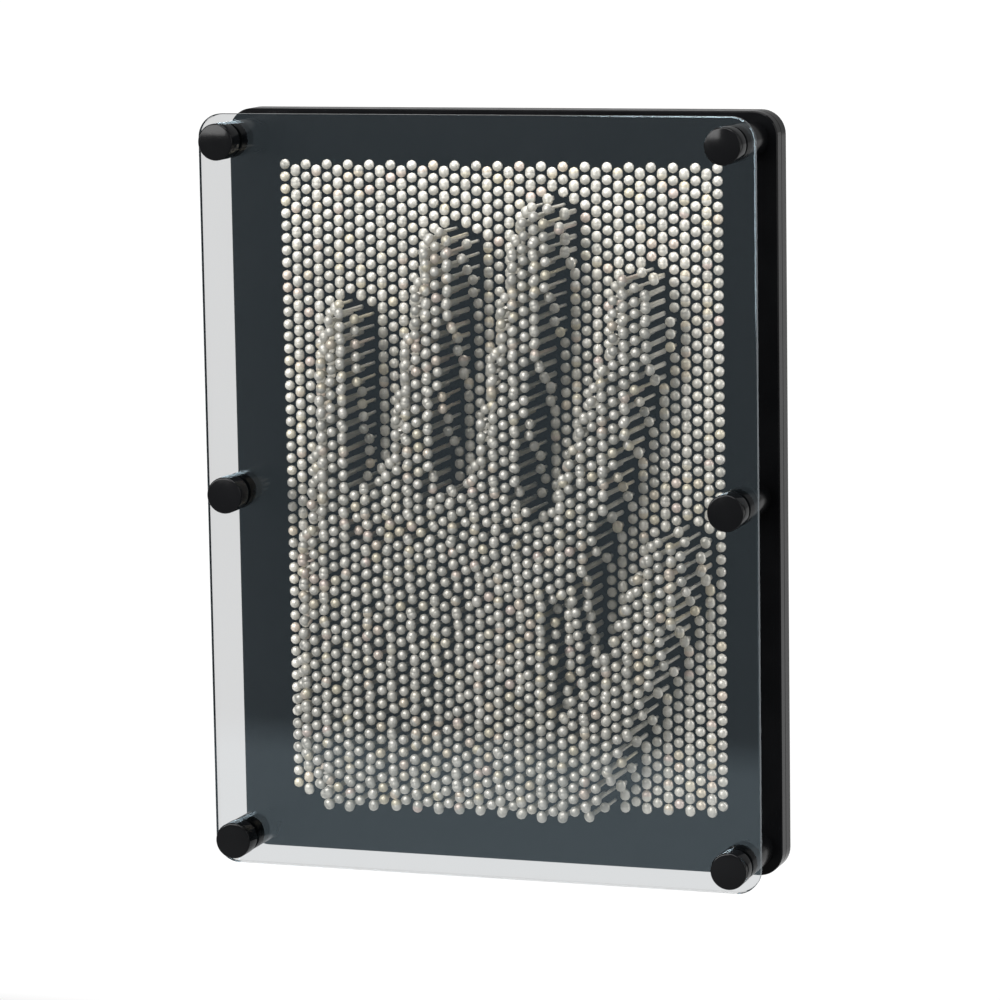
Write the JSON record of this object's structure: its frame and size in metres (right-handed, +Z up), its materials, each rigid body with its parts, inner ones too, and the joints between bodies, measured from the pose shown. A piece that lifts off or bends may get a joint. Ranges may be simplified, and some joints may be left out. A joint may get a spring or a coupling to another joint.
{
  "type": "pin art impression toy",
  "caption": "Upright pin impression toy: sliding metal pins in a black board behind a clear window, holding the relief of a hand.",
  "frame": {"origin": "middle of the bounding box in X and Y, on the surface that the toy stands on", "axes": "+Z up, -Y towards the viewer who looks through the window, +X to the viewer's right"},
  "size_m": [0.1534, 0.0542, 0.2032],
  "materials": {
    "clear_acrylic": "polished",
    "black_board": "gloss",
    "black_post": "gloss",
    "black_cap": "gloss",
    "black_screw": "black oxide",
    "nickel_pin": "satin nickel"
  },
  "bodies": {
    "pin_board_and_window": {"cap_bottom_left": "black_cap", "cap_bottom_right": "black_cap", "cap_middle_left": "black_cap", "cap_middle_right": "black_cap", "cap_top_left": "black_cap", "cap_top_right": "black_cap", "front_window": "clear_acrylic", "pin_board": "black_board", "post_bottom_left": "black_post", "post_bottom_right": "black_post", "post_middle_left": "black_post", "post_middle_right": "black_post", "post_top_left": "black_post", "post_top_right": "black_post", "rear_screws": "black_screw", "rim_frame": "black_board"},
    "pins_index_finger_1": {"pins_index_finger_1": "nickel_pin"},
    "pins_index_finger_2": {"pins_index_finger_2": "nickel_pin"},
    "pins_index_finger_3": {"pins_index_finger_3": "nickel_pin"},
    "pins_index_finger_4": {"pins_index_finger_4": "nickel_pin"},
    "pins_little_finger_1": {"pins_little_finger_1": "nickel_pin"},
    "pins_little_finger_2": {"pins_little_finger_2": "nickel_pin"},
    "pins_little_finger_3": {"pins_little_finger_3": "nickel_pin"},
    "pins_little_finger_4": {"pins_little_finger_4": "nickel_pin"},
    "pins_middle_finger_1": {"pins_middle_finger_1": "nickel_pin"},
    "pins_middle_finger_2": {"pins_middle_finger_2": "nickel_pin"},
    "pins_middle_finger_3": {"pins_middle_finger_3": "nickel_pin"},
    "pins_middle_finger_4": {"pins_middle_finger_4": "nickel_pin"},
    "pins_on_board": {"pins_on_board": "nickel_pin"},
    "pins_palm_1": {"pins_palm_1": "nickel_pin"},
    "pins_palm_2": {"pins_palm_2": "nickel_pin"},
    "pins_palm_3": {"pins_palm_3": "nickel_pin"},
    "pins_palm_4": {"pins_palm_4": "nickel_pin"},
    "pins_palm_5": {"pins_palm_5": "nickel_pin"},
    "pins_palm_6": {"pins_palm_6": "nickel_pin"},
    "pins_palm_7": {"pins_palm_7": "nickel_pin"},
    "pins_ring_finger_1": {"pins_ring_finger_1": "nickel_pin"},
    "pins_ring_finger_2": {"pins_ring_finger_2": "nickel_pin"},
    "pins_ring_finger_3": {"pins_ring_finger_3": "nickel_pin"},
    "pins_ring_finger_4": {"pins_ring_finger_4": "nickel_pin"},
    "pins_thumb_1": {"pins_thumb_1": "nickel_pin"},
    "pins_thumb_2": {"pins_thumb_2": "nickel_pin"},
    "pins_thumb_3": {"pins_thumb_3": "nickel_pin"},
    "pins_thumb_4": {"pins_thumb_4": "nickel_pin"}
  },
  "joints": [
    {"name": "pins_index_finger_1_slide", "type": "slide", "parent": "pin_board_and_window", "child": "pins_index_finger_1", "axis": [0, -1, 0], "range_m": [-0.004, 0.014]},
    {"name": "pins_index_finger_2_slide", "type": "slide", "parent": "pin_board_and_window", "child": "pins_index_finger_2", "axis": [0, -1, 0], "range_m": [-0.0085, 0.0095]},
    {"name": "pins_index_finger_3_slide", "type": "slide", "parent": "pin_board_and_window", "child": "pins_index_finger_3", "axis": [0, -1, 0], "range_m": [-0.013, 0.005]},
    {"name": "pins_index_finger_4_slide", "type": "slide", "parent": "pin_board_and_window", "child": "pins_index_finger_4", "axis": [0, -1, 0], "range_m": [-0.0164, 0.0016]},
    {"name": "pins_little_finger_1_slide", "type": "slide", "parent": "pin_board_and_window", "child": "pins_little_finger_1", "axis": [0, -1, 0], "range_m": [-0.004, 0.014]},
    {"name": "pins_little_finger_2_slide", "type": "slide", "parent": "pin_board_and_window", "child": "pins_little_finger_2", "axis": [0, -1, 0], "range_m": [-0.0085, 0.0095]},
    {"name": "pins_little_finger_3_slide", "type": "slide", "parent": "pin_board_and_window", "child": "pins_little_finger_3", "axis": [0, -1, 0], "range_m": [-0.013, 0.005]},
    {"name": "pins_little_finger_4_slide", "type": "slide", "parent": "pin_board_and_window", "child": "pins_little_finger_4", "axis": [0, -1, 0], "range_m": [-0.0164, 0.0016]},
    {"name": "pins_middle_finger_1_slide", "type": "slide", "parent": "pin_board_and_window", "child": "pins_middle_finger_1", "axis": [0, -1, 0], "range_m": [-0.004, 0.014]},
    {"name": "pins_middle_finger_2_slide", "type": "slide", "parent": "pin_board_and_window", "child": "pins_middle_finger_2", "axis": [0, -1, 0], "range_m": [-0.0085, 0.0095]},
    {"name": "pins_middle_finger_3_slide", "type": "slide", "parent": "pin_board_and_window", "child": "pins_middle_finger_3", "axis": [0, -1, 0], "range_m": [-0.013, 0.005]},
    {"name": "pins_middle_finger_4_slide", "type": "slide", "parent": "pin_board_and_window", "child": "pins_middle_finger_4", "axis": [0, -1, 0], "range_m": [-0.0164, 0.0016]},
    {"name": "pins_on_board_slide", "type": "slide", "parent": "pin_board_and_window", "child": "pins_on_board", "axis": [0, -1, 0], "range_m": [0, 0.018]},
    {"name": "pins_palm_1_slide", "type": "slide", "parent": "pin_board_and_window", "child": "pins_palm_1", "axis": [0, -1, 0], "range_m": [-0.003, 0.015]},
    {"name": "pins_palm_2_slide", "type": "slide", "parent": "pin_board_and_window", "child": "pins_palm_2", "axis": [0, -1, 0], "range_m": [-0.006, 0.012]},
    {"name": "pins_palm_3_slide", "type": "slide", "parent": "pin_board_and_window", "child": "pins_palm_3", "axis": [0, -1, 0], "range_m": [-0.009, 0.009]},
    {"name": "pins_palm_4_slide", "type": "slide", "parent": "pin_board_and_window", "child": "pins_palm_4", "axis": [0, -1, 0], "range_m": [-0.0115, 0.0065]},
    {"name": "pins_palm_5_slide", "type": "slide", "parent": "pin_board_and_window", "child": "pins_palm_5", "axis": [0, -1, 0], "range_m": [-0.0135, 0.0045]},
    {"name": "pins_palm_6_slide", "type": "slide", "parent": "pin_board_and_window", "child": "pins_palm_6", "axis": [0, -1, 0], "range_m": [-0.015, 0.003]},
    {"name": "pins_palm_7_slide", "type": "slide", "parent": "pin_board_and_window", "child": "pins_palm_7", "axis": [0, -1, 0], "range_m": [-0.0164, 0.0016]},
    {"name": "pins_ring_finger_1_slide", "type": "slide", "parent": "pin_board_and_window", "child": "pins_ring_finger_1", "axis": [0, -1, 0], "range_m": [-0.004, 0.014]},
    {"name": "pins_ring_finger_2_slide", "type": "slide", "parent": "pin_board_and_window", "child": "pins_ring_finger_2", "axis": [0, -1, 0], "range_m": [-0.0085, 0.0095]},
    {"name": "pins_ring_finger_3_slide", "type": "slide", "parent": "pin_board_and_window", "child": "pins_ring_finger_3", "axis": [0, -1, 0], "range_m": [-0.013, 0.005]},
    {"name": "pins_ring_finger_4_slide", "type": "slide", "parent": "pin_board_and_window", "child": "pins_ring_finger_4", "axis": [0, -1, 0], "range_m": [-0.0164, 0.0016]},
    {"name": "pins_thumb_1_slide", "type": "slide", "parent": "pin_board_and_window", "child": "pins_thumb_1", "axis": [0, -1, 0], "range_m": [-0.004, 0.014]},
    {"name": "pins_thumb_2_slide", "type": "slide", "parent": "pin_board_and_window", "child": "pins_thumb_2", "axis": [0, -1, 0], "range_m": [-0.0085, 0.0095]},
    {"name": "pins_thumb_3_slide", "type": "slide", "parent": "pin_board_and_window", "child": "pins_thumb_3", "axis": [0, -1, 0], "range_m": [-0.013, 0.005]},
    {"name": "pins_thumb_4_slide", "type": "slide", "parent": "pin_board_and_window", "child": "pins_thumb_4", "axis": [0, -1, 0], "range_m": [-0.0164, 0.0016]}
  ]
}
